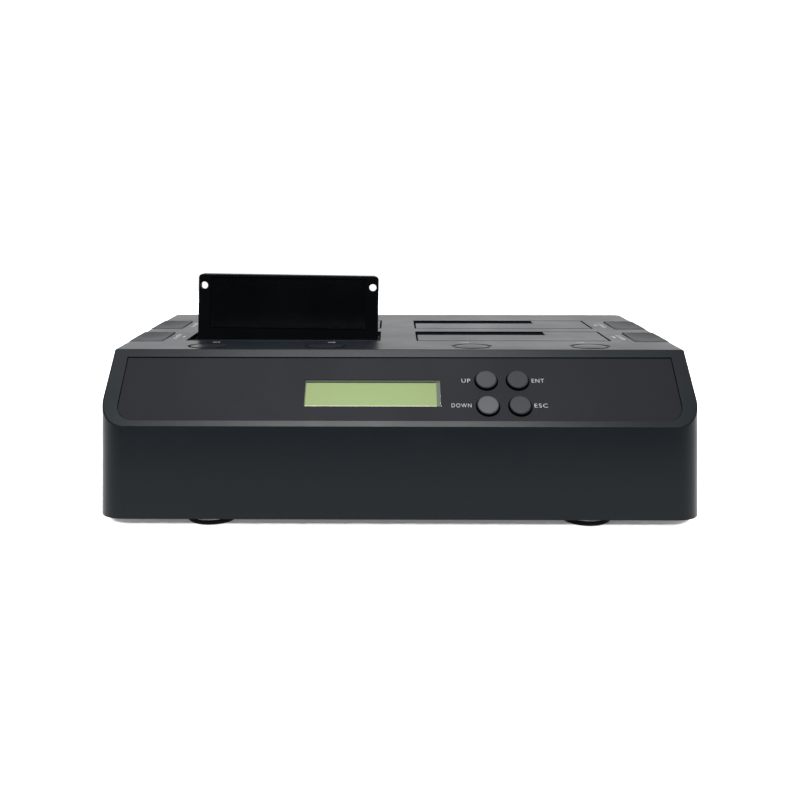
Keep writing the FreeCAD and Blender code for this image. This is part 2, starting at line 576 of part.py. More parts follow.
es = box(29.0, 45.0, 72.0, 88.2, ZB, 22.2)
es = cut(es, box(29.8, 44.2, 74.5, 89.0, ZB + 0.8, 21.4))
es = fuse(es, box(32.0, 42.0, 74.4, 86.4, 18.2, 19.4))
save("esata_socket", es)

RX0, RX1, RZ, RY = 72.3, 91.1, 36.6, 84.0
swb = fuse(box(RX0, RX1, 73.0, 87.1, RZ - 7.2, RZ + 7.2), box(RX0 - 1.2, RX1 + 1.2, 87.0, 88.6, RZ - 8.4, RZ + 8.4))
swb = cut(swb, box(RX0 + 1.7, RX1 - 1.7, 78.6, 90.0, RZ - 5.6, RZ + 5.6), cyl_x(RX0 + 0.5, RX1 - 0.5, RY, RZ, 1.0 + RUN))
for x in (76.5, 81.7, 86.9):
    swb = fuse(swb, box(x - 2.4, x + 2.4, 68.0, 73.1, RZ - 0.4, RZ + 0.4))
save("rocker_housing", swb)
pp = [V(0, -3.4, -2.4), V(0, 5.0, -4.5), V(0, 4.5, 0), V(0, 5.0, 4.5), V(0, -3.4, 2.4), V(0, -3.4, -2.4)]
rock = Part.Face(Part.makePolygon(pp)).extrude(V(RX1 - RX0 - 4.0, 0, 0))
rock.translate(V(RX0 + 2.0, 0, 0))
rock = fuse(rock, cyl_x(RX0 + 0.8, RX1 - 0.8, 0, 0, 1.0))
rock.rotate(V(0, 0, 0), V(1, 0, 0), -9.0)
rock.translate(V(0, RY, RZ))
save("power_rocker", rock)

# ---------------------------------------------------------------- adapter standing in the front-left bay
AX0, AX1 = AD_XC - AD_W / 2, AD_XC + AD_W / 2
AY1 = AD_Y0 + AD_T
SHIFT = (AD_TOP - 30.0) * math.sin(math.radians(AD_TILT))


def tilt(shape):
    s = shape.copy()
    s.rotate(V(AD_XC, 0, AD_TOP), V(0, 1, 0), AD_TILT)
    return s


plate = box(AX0, AX1, AD_Y0, AY1, AD_BOT, AD_TOP)
tops = [e for e in plate.Edges if e.BoundBox.XLength < 1e-6 and e.BoundBox.ZLength < 1e-6 and e.BoundBox.ZMin > AD_TOP - 1e-6]
plate = plate.makeFillet(2.0, tops)
fl = fuse(box(AX0, AX0 + 0.7, AY1 - 0.1, AY1 + 4.0, AD_BOT + 8, AD_TOP - 2.0), box(AX1 - 0.7, AX1, AY1 - 0.1, AY1 + 4.0, AD_BOT + 8, AD_TOP - 2.0),
          box(AX0 + 2.0, AX1 - 2.0, AY1 - 0.1, AY1 + 4.0, AD_TOP - 0.8, AD_TOP))
plate = fuse(plate, fl)
plate = cut(plate, box(AD_XC - 44.1, AD_XC + 44.1, AD_Y0 - 1, AD_Y0 + 1.0, Z_TOP + 2.9, AD_TOP - 1.5))
for k in (-1, 1):
    plate = plate.cut(cyl_y(AD_XC + k * AD_HOLE_PITCH / 2, AD_Y0 - 1, AY1 + 1, AD_TOP - 6.3, AD_HOLE_R))
save("adapter_bracket", tilt(plate))
save("adapter_cover", tilt(box(AD_XC - 43.7, AD_XC + 43.7, AD_Y0 + 0.3, AD_Y0 + 1.0, Z_TOP + 3.3, AD_TOP - 1.9)))
PXC = BAY_X0["left"] + SATA_DX + SHIFT
PYC = BAY_Y0["front"] + BAY_D - SATA_DY
ab = [box(PXC - 30, PXC + 40, AY1, AY1 + 1.0, 39.5, 78.0), box(PXC + 10, PXC + 22, AY1 + 1.0, AY1 + 2.2, 56, 68),
      box(PXC - 20, PXC - 14, AY1 + 1.0, AY1 + 2.0, 60, 68)]
save("adapter_board", [tilt(s) for s in ab])
plug = box(PXC - 24, PXC + 24, AY1 + 0.6, 8.7, 28.9, 39.5)
plug = cut(plug, box(PXC - 21.8, PXC + 21.8, PYC - 3.1, PYC + 3.1, 28.0, 34.4))
save("adapter_plug", tilt(plug))
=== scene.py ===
import math

import bmesh
import bpy
from mathutils import Matrix, Vector


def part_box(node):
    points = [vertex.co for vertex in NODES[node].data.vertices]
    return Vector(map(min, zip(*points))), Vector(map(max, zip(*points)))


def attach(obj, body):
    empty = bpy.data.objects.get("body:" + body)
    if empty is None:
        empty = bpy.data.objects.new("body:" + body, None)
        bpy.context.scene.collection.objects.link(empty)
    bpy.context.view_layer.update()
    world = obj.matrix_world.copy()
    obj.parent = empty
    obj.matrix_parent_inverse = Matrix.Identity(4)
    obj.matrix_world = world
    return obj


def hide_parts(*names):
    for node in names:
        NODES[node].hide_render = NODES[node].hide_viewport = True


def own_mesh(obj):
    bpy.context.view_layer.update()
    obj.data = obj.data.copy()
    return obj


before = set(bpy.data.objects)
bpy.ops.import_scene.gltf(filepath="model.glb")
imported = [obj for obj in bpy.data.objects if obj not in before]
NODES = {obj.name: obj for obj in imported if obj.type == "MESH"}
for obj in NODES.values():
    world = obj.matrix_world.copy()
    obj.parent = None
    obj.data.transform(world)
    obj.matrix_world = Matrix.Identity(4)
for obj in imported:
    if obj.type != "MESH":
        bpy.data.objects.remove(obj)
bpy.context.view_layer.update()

# Looks of the four-bay drive duplicator.  Metres, in the CAD frame.
MM = 0.001


# ------------------------------------------------------------------ node helpers
def new_material(name):
    m = bpy.data.materials.new(name)
    m.use_nodes = True
    nt = m.node_tree
    nt.nodes.clear()
    out = nt.nodes.new("ShaderNodeOutputMaterial")
    sh = nt.nodes.new("ShaderNodeBsdfPrincipled")
    nt.links.new(sh.outputs["BSDF"], out.inputs["Surface"])
    return m, nt, sh


def noise(nt, coord, scale, detail=2.0, rough=0.5, distort=0.0):
    n = nt.nodes.new("ShaderNodeTexNoise")
    n.inputs["Scale"].default_value = scale
    n.inputs["Detail"].default_value = detail
    n.inputs["Roughness"].default_value = rough
    n.inputs["Distortion"].default_value = distort
    nt.links.new(coord, n.inputs["Vector"])
    return n.outputs["Fac"]


def ramp(nt, fac, stops):
    r = nt.nodes.new("ShaderNodeValToRGB")
    el = r.color_ramp.elements
    el[0].position, el[0].color = stops[0][0], (*stops[0][1], 1)
    el[1].position, el[1].color = stops[-1][0], (*stops[-1][1], 1)
    for p, c in stops[1:-1]:
        e = el.new(p)
        e.color = (*c, 1)
    nt.links.new(fac, r.inputs["Fac"])
    return r.outputs["Color"]


def maprange(nt, fac, lo, hi, a=0.0, b=1.0):
    n = nt.nodes.new("ShaderNodeMapRange")
    n.inputs["From Min"].default_value = a
    n.inputs["From Max"].default_value = b
    n.inputs["To Min"].default_value = lo
    n.inputs["To Max"].default_value = hi
    nt.links.new(fac, n.inputs["Value"])
    return n.outputs["Result"]


def calc(nt, op, a, b=None):
    n = nt.nodes.new("ShaderNodeMath")
    n.operation = op
    for i, v in enumerate((a, b)):
        if v is None:
            continue
        if isinstance(v, (int, float)):
            n.inputs[i].default_value = v
        else:
            nt.links.new(v, n.inputs[i])
    return n.outputs[0]


def object_coord(nt):
    return nt.nodes.new("ShaderNodeTexCoord").outputs["Object"]


def scaled(c, k):
    return tuple(min(1.0, x * k) for x in c)


def plastic(name, color, rough=(0.40, 0.48), grain=2400.0, depth=0.00003, strength=0.35, var=0.06, blot=28.0,
            spec=0.5, coat=0.0):
    """Moulded plastic: a faint cloud in the colour and gloss, and the fine pitting of a spark-eroded mould."""
    m, nt, sh = new_material(name)
    co = object_coord(nt)
    big = noise(nt, co, blot, 3.0, 0.55)
    fine = noise(nt, co, grain, 2.0, 0.6)
    mixed = calc(nt, "ADD", calc(nt, "MULTIPLY", big, 0.6), calc(nt, "MULTIPLY", fine, 0.4))
    nt.links.new(ramp(nt, mixed, [(0.30, scaled(color, 1 - var)), (0.50, color), (0.70, scaled(color, 1 + var))]), sh.inputs["Base Color"])
    nt.links.new(maprange(nt, big, rough[0], rough[1], 0.3, 0.7), sh.inputs["Roughness"])
    sh.inputs["Specular IOR Level"].default_value = spec
    if coat:
        sh.inputs["Coat Weight"].default_value = coat
        sh.inputs["Coat Roughness"].default_value = 0.08
    b = nt.nodes.new("ShaderNodeBump")
    b.inputs["Strength"].default_value = strength
    b.inputs["Distance"].default_value = depth
    nt.links.new(fine, b.inputs["Height"])
    nt.links.new(b.outputs["Normal"], sh.inputs["Normal"])
    return m


def metal(name, color, rough=(0.22, 0.34), stretch=(1, 1, 30), scale=900.0, strength=0.15, depth=0.00002, metallic=1.0, var=0.08):
    """Drawn or rolled metal: fine streaks along one direction."""
    m, nt, sh = new_material(name)
    co = object_coord(nt)
    mp = nt.nodes.new("ShaderNodeMapping")
    mp.inputs["Scale"].default_value = stretch
    nt.links.new(co, mp.inputs["Vector"])
    streak = noise(nt, mp.outputs["Vector"], scale, 3.0, 0.6)
    big = noise(nt, co, 60.0, 3.0)
    nt.links.new(ramp(nt, streak, [(0.3, scaled(color, 1 - var)), (0.7, scaled(color, 1 + var))]), sh.inputs["Base Color"])
    nt.links.new(maprange(nt, big, rough[0], rough[1], 0.3, 0.7), sh.inputs["Roughness"])
    sh.inputs["Metallic"].default_value = metallic
    b = nt.nodes.new("ShaderNodeBump")
    b.inputs["Strength"].default_value = strength
    b.inputs["Distance"].default_value = depth
    nt.links.new(streak, b.inputs["Height"])
    nt.links.new(b.outputs["Normal"], sh.inputs["Normal"])
    return m


def rubber(name, color):
    m, nt, sh = new_material(name)
    co = object_coord(nt)
    fine = noise(nt, co, 1500.0, 3.0, 0.6)
    dust = noise(nt, co, 90.0, 4.0, 0.6)
    nt.links.new(ramp(nt, dust, [(0.35, color), (0.75, scaled(color, 1.7))]), sh.inputs["Base Color"])
    nt.links.new(maprange(nt, dust, 0.62, 0.8, 0.3, 0.7), sh.inputs["Roughness"])
    sh.inputs["Specular IOR Level"].default_value = 0.06
    b = nt.nodes.new("ShaderNodeBump")
    b.inputs["Strength"].default_value = 0.4
    b.inputs["Distance"].default_value = 0.00005
    nt.links.new(fine, b.inputs["Height"])
    nt.links.new(b.outputs["Normal"], sh.inputs["Normal"])
    return m


def board(name):
    """Solder mask over copper tracks."""
    m, nt, sh = new_material(name)
    co = object_coord(nt)
    mp = nt.nodes.new("ShaderNodeMapping")
    mp.inputs["Scale"].default_value = (1, 1, 1)
    nt.links.new(co, mp.inputs["Vector"])
    br = nt.nodes.new("ShaderNodeTexBrick")
    br.inputs["Scale"].default_value = 260.0
    br.inputs["Mortar Size"].default_value = 0.06
    br.inputs["Color1"].default_value = (0.010, 0.075, 0.032, 1)
    br.inputs["Color2"].default_value = (0.014, 0.095, 0.040, 1)
    br.inputs["Mortar"].default_value = (0.03, 0.16, 0.07, 1)
    nt.links.new(mp.outputs["Vector"], br.inputs["Vector"])
    nt.links.new(br.outputs["Color"], sh.inputs["Base Color"])
    nt.links.new(maprange(nt, noise(nt, co, 150.0), 0.25, 0.4), sh.inputs["Roughness"])
    b = nt.nodes.new("ShaderNodeBump")
    b.inputs["Strength"].default_value = 0.3
    b.inputs["Distance"].default_value = 0.00003
    nt.links.new(br.outputs["Fac"], b.inputs["Height"])
    nt.links.new(b.outputs["Normal"], sh.inputs["Normal"])
    return m


# slope frame of the front: origin on the deck's front edge, x, y up the slope, z outwards
SL = math.hypot(33.2, 31.6)
UP = Vector((0, 33.2 / SL, 31.6 / SL))
OUT = Vector((0, -31.6 / SL, 33.2 / SL))
SLOPE = Matrix(((1, 0, 0, 0), (0, UP.y, OUT.y, -0.0568), (0, UP.z, OUT.z, 0.083), (0, 0, 0, 1)))
DECK = Matrix.Translation((0, 0, 0.083))


def lcd_material(name):
    """Reflective yellow-green liquid crystal, its tone drifting slightly along its length under a faint cloud."""
    m, nt, sh = new_material(name)
    co = object_coord(nt)
    sep = nt.nodes.new("ShaderNodeSeparateXYZ")
    nt.links.new(co, sep.inputs["Vector"])
    cloud = noise(nt, co, 55.0, 2.0, 0.5, 0.4)
    x = maprange(nt, sep.outputs["X"], 0.0, 1.0, -0.046, 0.019)
    f = calc(nt, "ADD", calc(nt, "MULTIPLY", x, 0.75), calc(nt, "MULTIPLY", cloud, 0.25))
    col = ramp(nt, f, [(0.08, LCD_A), (0.42, LCD_B), (0.70, LCD_B), (0.92, LCD_C)])
    nt.links.new(col, sh.inputs["Base Color"])
    nt.links.new(col, sh.inputs["Emission Color"])
    sh.inputs["Emission Strength"].default_value = LCD_GLOW
    sh.inputs["Roughness"].default_value = 0.30
    sh.inputs["Specular IOR Level"].default_value = 0.08
    return m


def bezel_material(name):
    """Grey frame of the display: its upper bar, tucked under the panel's edge, is painted darker as the shade that
    edge casts.
    """
    m, nt, sh = new_material(name)
    co = object_coord(nt)
    sep = nt.nodes.new("ShaderNodeSeparateXYZ")
    nt.links.new(co, sep.inputs["Vector"])
    cloud = noise(nt, co, 120.0, 2.0, 0.5)
    # painted shade: the colour darkens with height over the upper bar, under the panel's edge
    f = calc(nt, "ADD", maprange(nt, sep.outputs["Z"], 0.0, 0.85, 0.0683, 0.0690), calc(nt, "MULTIPLY", cloud, 0.15))
    nt.links.new(ramp(nt, f, [(0.05, (0.0345, 0.0405, 0.0320)), (0.95, (0.0175, 0.0200, 0.0180))]), sh.inputs["Base Color"])
    nt.links.new(maprange(nt, cloud, 0.42, 0.52), sh.inputs["Roughness"])
    sh.inputs["Specular IOR Level"].default_value = 0.05
    return m


LCD_A = (0.0605, 0.0825, 0.0220)
LCD_B = (0.0580, 0.0855, 0.0230)
LCD_C = (0.0600, 0.0785, 0.0205)
LCD_GLOW = 0.0

HOUSING = (0.0022, 0.0033, 0.0044)
M = {
    "housing": plastic("housing_plastic", HOUSING, rough=(0.30, 0.37), spec=0.078),
    "flap": plastic("flap_plastic", scaled(HOUSING, 1.04), rough=(0.30, 0.37), spec=0.078),
    "cover": plastic("cover_plastic", (0.030, 0.032, 0.034), rough=(0.46, 0.56), strength=0.5),
    "guide": plastic("guide_plastic", (0.012, 0.012, 0.013), rough=(0.5, 0.6)),
    "panel": plastic("panel_plastic", (0.0029, 0.0031, 0.0042), rough=(0.52, 0.58), spec=0.044, grain=3200.0, strength=0.25),
    "bezel": bezel_material("lcd_bezel_plastic"),
    "lcd": lcd_material("lcd_glass"),
    # one key plastic in four tones: the down key keeps the lit tone; the up, enter and escape copies are darker as
    # painted shade where the light falls off
    "key": plastic("key_plastic", (0.0140, 0.0155, 0.0178), rough=(0.34, 0.44), strength=0.3, spec=0.095),
    "key_up": plastic("key_plastic_up_shaded", (0.0092, 0.0105, 0.0120), rough=(0.34, 0.44), strength=0.3, spec=0.063),
    "key_ent": plastic("key_plastic_ent_shaded", (0.0074, 0.0085, 0.0102), rough=(0.36, 0.46), strength=0.3, spec=0.052),
    "key_esc": plastic("key_plastic_esc_shaded", (0.0082, 0.0092, 0.0112), rough=(0.36, 0.46), strength=0.3, spec=0.055),
    "button": plastic("button_plastic", scaled(HOUSING, 1.08), rough=(0.32, 0.40), strength=0.3, spec=0.10),
    "ring": plastic("ring_plastic", scaled(HOUSING, 1.15), rough=(0.20, 0.28), strength=0.15, spec=0.035),
    "eject": plastic("eject_plastic", (0.0052, 0.0062, 0.0076), rough=(0.42, 0.50), spec=0.07),
    "lever": plastic("lever_plastic", (0.02, 0.02, 0.021), rough=(0.4, 0.5)),
    "component": plastic("component_black", (0.018, 0.018, 0.019), rough=(0.4, 0.5)),
    "connector": plastic("connector_black", (0.010, 0.010, 0.011), rough=(0.25, 0.35), strength=0.15),
    "socket": plastic("socket_black", (0.012, 0.012, 0.012), rough=(0.35, 0.45)),
    "rocker": plastic("rocker_plastic", (0.016, 0.016, 0.017), rough=(0.25, 0.35), strength=0.15),
    "ribbon": plastic("ribbon_grey", (0.32, 0.32, 0.32), rough=(0.45, 0.55)),
    "board": board("solder_mask"),
    "steel": metal("zinc_steel", (0.56, 0.56, 0.58)),
    "spring": metal("spring_wire", (0.50, 0.50, 0.52), stretch=(1, 1, 1)),
    "module": metal("module_steel", (0.48, 0.48, 0.48), stretch=(1, 12, 12)),
    "nickel": metal("nickel_plate", (0.66, 0.65, 0.62), rough=(0.15, 0.25), stretch=(1, 20, 1)),
    "gold": metal("contact_gold", (0.80, 0.58, 0.24), rough=(0.18, 0.26), stretch=(1, 1, 1)),
    "rubber": rubber("foot_rubber", (0.0030, 0.0030, 0.0033)),
    "adapter": plastic("adapter_paint", (0.0008, 0.0009, 0.0011), rough=(0.40, 0.50), grain=1800.0, strength=0.25, var=0.12, spec=0.02),
    "gloss": plastic("adapter_gloss", (0.0006, 0.0007, 0.0010), rough=(0.16, 0.24), grain=900.0, strength=0.06, var=0.15, spec=0.25),
    "ink": plastic("legend_ink", (0.150, 0.153, 0.158), rough=(0.45, 0.55), strength=0.1, spec=0.1),
    "ink_dim": plastic("deck_legend_ink", (0.150, 0.153, 0.155), rough=(0.45, 0.55), strength=0.1, spec=0.1),
    # near-black sheet for painted shade in shadowed gaps
    "black": plastic("gap_painted_shade", (0.0006, 0.0006, 0.0007), rough=(0.6, 0.7), strength=0.1, spec=0.0),
    # near-white collar plastic: a painted highlight on the feet
    "collar": plastic("foot_collar", (0.80, 0.80, 0.80), rough=(0.5, 0.6), strength=0.2, var=0.15, spec=0.3),
    # pale strip for the painted highlight on the display glass's lower edge
    "lip": plastic("lcd_edge_highlight", (0.20, 0.23, 0.13), rough=(0.25, 0.35), strength=0.05),
}


def use(node, key):
    o = NODES[node]
    if not o.material_slots:
        o.data.materials.append(M[key])
    for s in o.material_slots:
        s.material = M[key]


for n in NODES:
    if n in ("top_shell", "deck_bridge"):
        use(n, "housing")
    elif n == "bottom_cover":
        use(n, "cover")
    elif n in ("flap_pins", "eject_lever_pins", "case_screws", "foot_screws", "board_screws"):
        use(n, "steel")
    elif n.startswith("eject_spring") or n == "flap_springs":
        use(n, "spring")
    elif n.startswith("flap_"):
        use(n, "flap")
    elif n.startswith("bay_guide"):
        use(n, "guide")
    elif n == "display_panel":
        use(n, "panel")
    elif n == "lcd_bezel":
        use(n, "bezel")
    elif n == "lcd_screen":
        use(n, "lcd")
    elif n == "lcd_module":
        use(n, "module")
    elif n in ("key_switches", "power_switches", "board_components"):
        use(n, "component")
    elif n.startswith("key_"):
        # the up, enter and escape keys take the darker painted-shade copies of the key plastic
        use(n, {"key_up": "key_up", "key_enter": "key_ent", "key_escape": "key_esc"}.get(n, "key"))
    elif n == "power_button_rings":
        use(n, "ring")
    elif n.startswith("power_button_"):
        use(n, "button")
    elif n.startswith("eject_button"):
        use(n, "eject")
    elif n.startswith("eject_lever"):
        use(n, "lever")
    elif n in ("main_board", "front_board", "button_board", "adapter_board"):
        use(n, "board")
    elif n == "ribbon_cables":
        use(n, "ribbon")
    elif n in ("sata_connectors", "adapter_plug"):
        use(n, "connector")
    elif n in ("usb_socket", "esata_socket"):
        use(n, "nickel")
    elif n in ("power_jack", "rocker_housing"):
        use(n, "socket")
    elif n == "power_rocker":
        use(n, "rocker")
    elif n == "feet":
        use(n, "rubber")
    elif n == "adapter_bracket":
        use(n, "adapter")
    elif n == "adapter_cover":
        use(n, "gloss")
    else:
        raise RuntimeError("no material for " + n)


# ------------------------------------------------------------------ mesh helpers
def finish_mesh(name, bm, key, body):
    bmesh.ops.recalc_face_normals(bm, faces=bm.faces)
    me = bpy.data.meshes.new(name)
    bm.to_mesh(me)
    bm.free()
    me.materials.append(M[key])
    o = bpy.data.objects.new(name, me)
    bpy.context.scene.collection.objects.link(o)
    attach(o, body)
    return o


def add_prism(bm, outline, z0, z1, frame_matrix):
    """Closed prism over a 2-D outline (millimetres) between two heights, placed by a matrix in metres."""
    low = [bm.verts.new(frame_matrix @ Vector((x * MM, y * MM, z0 * MM))) for x, y in outline]
    top = [bm.verts.new(frame_matrix @ Vector((x * MM, y * MM, z1 * MM))) for x, y in outline]
    bm.faces.new(low[::-1])
    bm.faces.new(top)
    n = len(outline)
    for i in range(n):
        j = (i + 1) % n
        bm.faces.new((low[i], low[j], top[j], top[i]))


def add_box(bm, x0, x1, y0, y1, z0, z1, m=Matrix.Identity(4)):
    add_prism(bm, [(x0, y0), (x1, y0), (x1, y1), (x0, y1)], z0, z1, m)


def text_outline(bm, text, x0, x1, y0, y1, height, m, spin=0.0, thick=0.0, z0=0.0):
    """Flat printed lettering that fills the box x0..x1, y0..y1 (millimetres) of a local plane."""
    cu = bpy.data.curves.new("t_" + text, "FONT")
    cu.body = text
    cu.size = 1.0
    cu.space_character = 1.18
    cu.resolution_u = 4
    cu.offset = thick
    cu.fill_mode = "BOTH"
    cu.extrude = 0.5
    ob = bpy.data.objects.new("t_" + text, cu)
    bpy.context.scene.collection.objects.link(ob)
    bpy.context.view_layer.update()
    me = bpy.data.meshes.new_from_object(ob.evaluated_get(bpy.context.evaluated_depsgraph_get()))
    xs = [v.co.x for v in me.vertices]
    ys = [v.co.y for v in me.vertices]
    zs = [v.co.z for v in me.vertices]
    ax, bx, ay, by, az, bz = min(xs), max(xs), min(ys), max(ys), min(zs), max(zs)
    w, h = (x1 - x0), (y1 - y0)
    cs, sn = math.cos(spin), math.sin(spin)
    cx, cy = 0.5 * (x0 + x1), 0.5 * (y0 + y1)
    for v in me.vertices:
        u = ((v.co.x - ax) / (bx - ax) - 0.5) * w
        t = ((v.co.y - ay) / (by - ay) - 0.5) * h
        q = z0 + (v.co.z - az) / (bz - az) * height
        p = Vector(((cx + u * cs - t * sn) * MM, (cy + u * sn + t * cs) * MM, q * MM))
        v.co = m @ p
    bm.from_mesh(me)
    bpy.data.objects.remove(ob)
    bpy.data.curves.remove(cu)
    bpy.data.meshes.remove(me)


# ------------------------------------------------------------------ printed legends
PANEL_H = -0.5      # the panel's face in the slope frame
bm = bmesh.new()
for text, x0, x1, s in (("UP", 31.05, 35.4, 18.9), ("ENT", 65.8, 71.9, 18.9), ("DOWN", 25.5, 35.2, 33.5), ("ESC", 65.75, 72.15, 33.5)):
    text_outline(bm, text, x0, x1, -s - 1.1, -s + 1.1, 0.03, SLOPE, thick=-0.008, z0=PANEL_H)
finish_mesh("key_legends", bm, "ink", "housing")

bm = bmesh.new()
BTN_X = (-99.5, -38.1, 38.1, 99.5)
for i, x in enumerate(BTN_X):
    # a generic power mark (open ring and bar) and the bay's number
    c = x - math.copysign(2.6, x)
    half = 0.24 if i == 0 else 0.8      # the figure one is a plain narrow bar
    text_outline(bm, str(i + 1), c + 1.1 - half, c + 1.1 + half, -34.3, -31.6, 0.02, DECK, thick=0.01)
    ring_out, ring_in = 1.15, 0.80
    cx, cy = c - 1.0, -33.0
    a0, a1, k = math.radians(90 + 38), math.radians(450 - 38), 18
    outer = [(cx + ring_out * math.cos(a0 + (a1 - a0) * j / k), cy + ring_out * math.sin(a0 + (a1 - a0) * j / k)) for j in range(k + 1)]
    inner = [(cx + ring_in * math.cos(a1 + (a0 - a1) * j / k), cy + ring_in * math.sin(a1 + (a0 - a1) * j / k)) for j in range(k + 1)]
    for j in range(k):
        add_prism(bm, [outer[j], outer[j + 1], inner[k - j - 1], inner[k - j]], 0.0, 0.02, DECK)
    add_prism(bm, [(cx - 0.17, cy + 0.1), (cx + 0.17, cy + 0.1), (cx + 0.17, cy + 1.35), (cx - 0.17, cy + 1.35)], 0.0, 0.02, DECK)
number = {("front", "left"): "1", ("rear", "left"): "2", ("front", "right"): "3", ("rear", "right"): "4"}
for (row, side), num in number.items():
    yc = -12.1 if row == "front" else 37.4
    sg = 1 if side == "right" else -1
    # the word runs along the button's inner edge, the bay's number stands beside it
    text_outline(bm, "EJECT", -8.4, 8.4, -1.35, 1.35, 0.02, DECK @ Matrix.Translation((sg * 122.9 * MM, (yc - 0.8) * MM, 0))
                 @ Matrix.Rotation(math.radians(90 * sg), 4, "Z"), thick=0.02)
    half = 0.38 if num == "1" else 1.2
    text_outline(bm, num, sg * 118.8 - half, sg * 118.8 + half, yc - 3.0, yc + 2.6, 0.02, DECK, thick=0.01)
finish_mesh("deck_legends", bm, "ink_dim", "housing")

# bright lower edge of the display's glass: a painted highlight along the glass edge
bm = bmesh.new()
add_prism(bm, [(-45.9, -33.78), (18.45, -33.78), (18.45, -33.45), (-45.9, -33.45)], -1.3, -1.12, SLOPE)
finish_mesh("lcd_glass_edge", bm, "lip", "housing")



def revolve(bm, profile, cx, cy, m, n=72):
    """Closed ring: a (radius, height) outline in millimetres turned about a local vertical axis."""
    rows = []
    for k in range(n):
        a = 2 * math.pi * k / n
        rows.append([bm.verts.new(m @ Vector(((cx + r * math.cos(a)) * MM, (cy + r * math.sin(a)) * MM, h * MM))) for r, h in profile])
    for k in range(n):
        p, q = rows[k], rows[(k + 1) % n]
        for j in range(len(profile)):
            i = (j + 1) % len(profile)
            bm.faces.new((p[j], q[j], q[i], p[i]))


# dark skirt round each menu key: painted shade standing in for the shadowed gap between key and panel
for name, x, sl in (("key_up", 43.2, 19.0), ("key_enter", 58.8, 19.0), ("key_down", 43.2, 34.0), ("key_escape", 58.8, 34.0)):
    bm = bmesh.new()
    revolve(bm, [(5.305, 0.52), (5.37, 0.44), (5.37, -2.48), (6.36, -2.48), (6.36, -2.56), (5.305, -2.56)], x, -sl, SLOPE)
    finish_mesh(name + "_skirt", bm, "black", name)

# paler collar of each foot, above its rim, lightened to near-white as a painted highlight for the sheen on the
# foot's shoulder
bm = bmesh.new()
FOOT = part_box("feet")
foot_r = 12.5
FX = FOOT[1][0] / MM - foot_r
FY = FOOT[1][1] / MM - foot_r
for sx in (-1, 1):
    for sy in (-1, 1):
        revolve(bm, [(foot_r - 0.55, 2.45), (10.25, 2.76), (9.68, 6.9), (9.62, 6.9), (10.18, 2.71), (foot_r - 0.6, 2.40)], sx * FX, sy * FY, Matrix.Identity(4))
finish_mesh("foot_collars", bm, "collar", "housing")

# dark seam round each bay opening, lying in its bevel: painted shade standing in for the shadowed gap at the
# opening's edge
bm = bmesh.new()
for bx in (-114.3, 10.3):
    for by in (-26.6, 23.0):
        x0, x1, y0, y1 = bx + 0.02, bx + 104.0 - 0.02, by + 0.02, by + 35.7 - 0.02
        section = [(0.0, 82.42), (0.0, 82.93), (0.47, 82.93)]
        rows = []
        for cx, cy, sx, sy in ((x0, y0, -1, -1), (x1, y0, 1, -1), (x1, y1, 1, 1), (x0, y1, -1, 1)):
            rows.append([bm.verts.new(((cx + sx * d) * MM, (cy + sy * d) * MM, h * MM)) for d, h in section])
        for k in range(4):
            p, q = rows[k], rows[(k + 1) % 4]
            for j in range(3):
                i = (j + 1) % 3
                bm.faces.new((p[j], q[j], q[i], p[i]))
finish_mesh("bay_seams", bm, "black", "housing")

# return springs of the eject buttons: wound coils drawn in place of the spring nodes, which are hidden
for row in ("front", "rear"):
    for side in ("left", "right"):
        node = "eject_spring_%s_%s" % (row, side)
        lo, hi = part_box(node)
        cx, cy = 0.5 * (lo[0] + hi[0]) / MM, 0.5 * (lo[1] + hi[1]) / MM
        wire, coil_r, turns, z0 = 0.5, 5.55, 5.0, lo[2] / MM + 0.52
        rise = hi[2] / MM - lo[2] / MM - 1.04
        bm = bmesh.new()
        rows, per, sides = [], 32, 10
        total = int(per * turns)
        for k in range(total + 1):
            a = 2 * math.pi * k / per
            radial = Vector((math.cos(a), math.sin(a), 0))
            along = Vector((-math.sin(a) * coil_r, math.cos(a) * coil_r, rise / (2 * math.pi * turns))).normalized()
            across = along.cross(radial)
            mid = Vector((cx + coil_r * math.cos(a), cy + coil_r * math.sin(a), z0 + rise * k / total))
            rows.append([bm.verts.new((mid + radial * (wire * math.cos(b)) + across * (wire * math.sin(b))) * MM)
                         for b in (2 * math.pi * j / sides for j in range(sides))])
        for k in range(total):
            p, q = rows[k], rows[k + 1]
            for j in range(sides):
                i = (j + 1) % sides
                bm.faces.new((p[j], q[j], q[i], p[i]))
        bm.faces.new(rows[0][::-1])
        bm.faces.new(rows[-1])
        o = finish_mesh("eject_coil_%s_%s" % (row, side), bm, "spring", "housing")
        for f in o.data.polygons:
            f.use_smooth = len(f.vertices) == 4
        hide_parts(node)
        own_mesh(o)

# contacts of the drive connectors
bm = bmesh.new()
for bx in (-114.3, 10.3):
    for by in (-26.6, 23.0):
        xc, yc = bx + 33.5, by + 35.7 - 4.4
        for i in range(7):
            x = xc - 18.0 + i * 1.27
            add_box(bm, x - 0.3, x + 0.3, yc - 0.85, yc - 0.6, 27.2, 33.3)
        for i in range(15):
            x = xc - 4.4 + i * 1.27
            add_box(bm, x - 0.3, x + 0.3, yc - 0.85, yc - 0.6, 27.2, 33.3)
finish_mesh("drive_contacts", bm, "gold", "housing")

